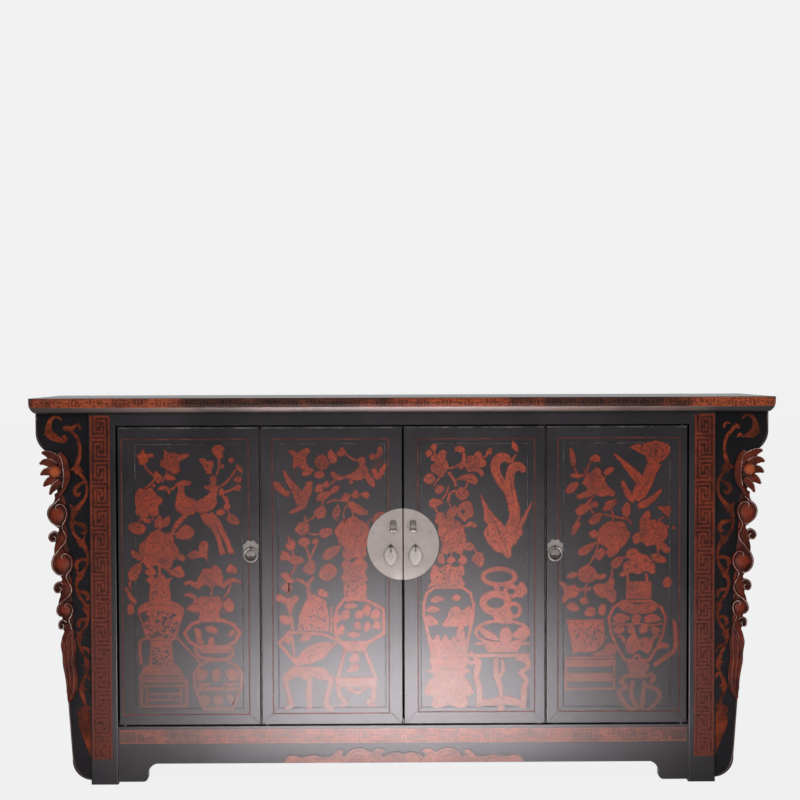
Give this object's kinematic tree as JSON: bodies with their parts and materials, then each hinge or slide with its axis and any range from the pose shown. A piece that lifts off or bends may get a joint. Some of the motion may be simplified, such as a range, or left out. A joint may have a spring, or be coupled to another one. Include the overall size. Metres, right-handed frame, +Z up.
{
  "type": "sideboard",
  "caption": "Long black lacquer sideboard with painted pivot doors, round split lock plate, ring and leaf pulls, overhanging moulded top and carved lotus wings.",
  "frame": {"origin": "on the floor, under the middle of the top", "axes": "+X along the length to the viewer's right, +Y to the back, +Z up; the doors face -Y"},
  "size_m": [1.8, 0.47, 0.94],
  "materials": {
    "black_lacquer": "satin lacquer with painted ornament, worn at the edges",
    "dark_wood": "dark stain",
    "red_carving": "red lacquer, worn on the raised edges",
    "pewter": "aged white brass"
  },
  "bodies": {
    "carcass": {"front_left_post": "black_lacquer", "front_right_post": "black_lacquer", "back_left_post": "black_lacquer", "back_right_post": "black_lacquer", "front_top_rail": "black_lacquer", "front_bottom_rail": "black_lacquer", "front_apron": "black_lacquer", "mullions": "dark_wood", "back_rails": "dark_wood", "back_panel": "dark_wood", "left_end_rails": "black_lacquer", "left_end_panel": "black_lacquer", "right_end_rails": "black_lacquer", "right_end_panel": "black_lacquer", "floor_board": "dark_wood", "shelf_bearers": "dark_wood", "shelf": "dark_wood", "left_front_wing": "black_lacquer", "right_front_wing": "black_lacquer", "left_back_wing": "black_lacquer", "right_back_wing": "black_lacquer", "left_wing_carving": "red_carving", "right_wing_carving": "red_carving", "top_front_rail": "black_lacquer", "top_back_rail": "black_lacquer", "top_left_rail": "black_lacquer", "top_right_rail": "black_lacquer", "top_panel": "black_lacquer", "top_battens": "dark_wood"},
    "left_outer_door": {"left_outer_door_hinge_stile": "black_lacquer", "left_outer_door_free_stile": "black_lacquer", "left_outer_door_rails": "black_lacquer", "left_outer_door_panel": "black_lacquer", "left_ring_plate": "pewter", "left_ring_eye": "pewter"},
    "left_inner_door": {"left_inner_door_hinge_stile": "black_lacquer", "left_inner_door_free_stile": "black_lacquer", "left_inner_door_rails": "black_lacquer", "left_inner_door_panel": "black_lacquer", "left_lock_plate": "pewter", "left_lock_staple": "pewter", "left_leaf_eye": "pewter"},
    "right_inner_door": {"right_inner_door_hinge_stile": "black_lacquer", "right_inner_door_free_stile": "black_lacquer", "right_inner_door_rails": "black_lacquer", "right_inner_door_panel": "black_lacquer", "right_lock_plate": "pewter", "right_lock_staple": "pewter", "right_leaf_eye": "pewter"},
    "right_outer_door": {"right_outer_door_hinge_stile": "black_lacquer", "right_outer_door_free_stile": "black_lacquer", "right_outer_door_rails": "black_lacquer", "right_outer_door_panel": "black_lacquer", "right_ring_plate": "pewter", "right_ring_eye": "pewter"},
    "left_ring": {"left_ring": "pewter"},
    "left_leaf_pull": {"left_leaf_pull": "pewter"},
    "right_ring": {"right_ring": "pewter"},
    "right_leaf_pull": {"right_leaf_pull": "pewter"}
  },
  "joints": [
    {"name": "left_outer_door_hinge", "type": "hinge", "parent": "carcass", "child": "left_outer_door", "pos_m": [-0.678, -0.2045, 0.5], "axis": [0, 0, -1], "range_deg": [0, 110]},
    {"name": "left_inner_door_hinge", "type": "hinge", "parent": "carcass", "child": "left_inner_door", "pos_m": [-0.332, -0.2045, 0.5], "axis": [0, 0, -1], "range_deg": [0, 100]},
    {"name": "right_inner_door_hinge", "type": "hinge", "parent": "carcass", "child": "right_inner_door", "pos_m": [0.332, -0.2045, 0.5], "axis": [0, 0, 1], "range_deg": [0, 100]},
    {"name": "right_outer_door_hinge", "type": "hinge", "parent": "carcass", "child": "right_outer_door", "pos_m": [0.678, -0.2045, 0.5], "axis": [0, 0, 1], "range_deg": [0, 110]},
    {"name": "left_ring_swing", "type": "hinge", "parent": "left_outer_door", "child": "left_ring", "pos_m": [-0.369, -0.22105, 0.575], "axis": [-1, 0, 0], "range_deg": [0, 80]},
    {"name": "left_leaf_swing", "type": "hinge", "parent": "left_inner_door", "child": "left_leaf_pull", "pos_m": [-0.03, -0.2237, 0.5769], "axis": [-1, 0, 0], "range_deg": [0, 85]},
    {"name": "right_ring_swing", "type": "hinge", "parent": "right_outer_door", "child": "right_ring", "pos_m": [0.369, -0.22105, 0.575], "axis": [-1, 0, 0], "range_deg": [0, 80]},
    {"name": "right_leaf_swing", "type": "hinge", "parent": "right_inner_door", "child": "right_leaf_pull", "pos_m": [0.03, -0.2237, 0.5769], "axis": [-1, 0, 0], "range_deg": [0, 85]}
  ]
}
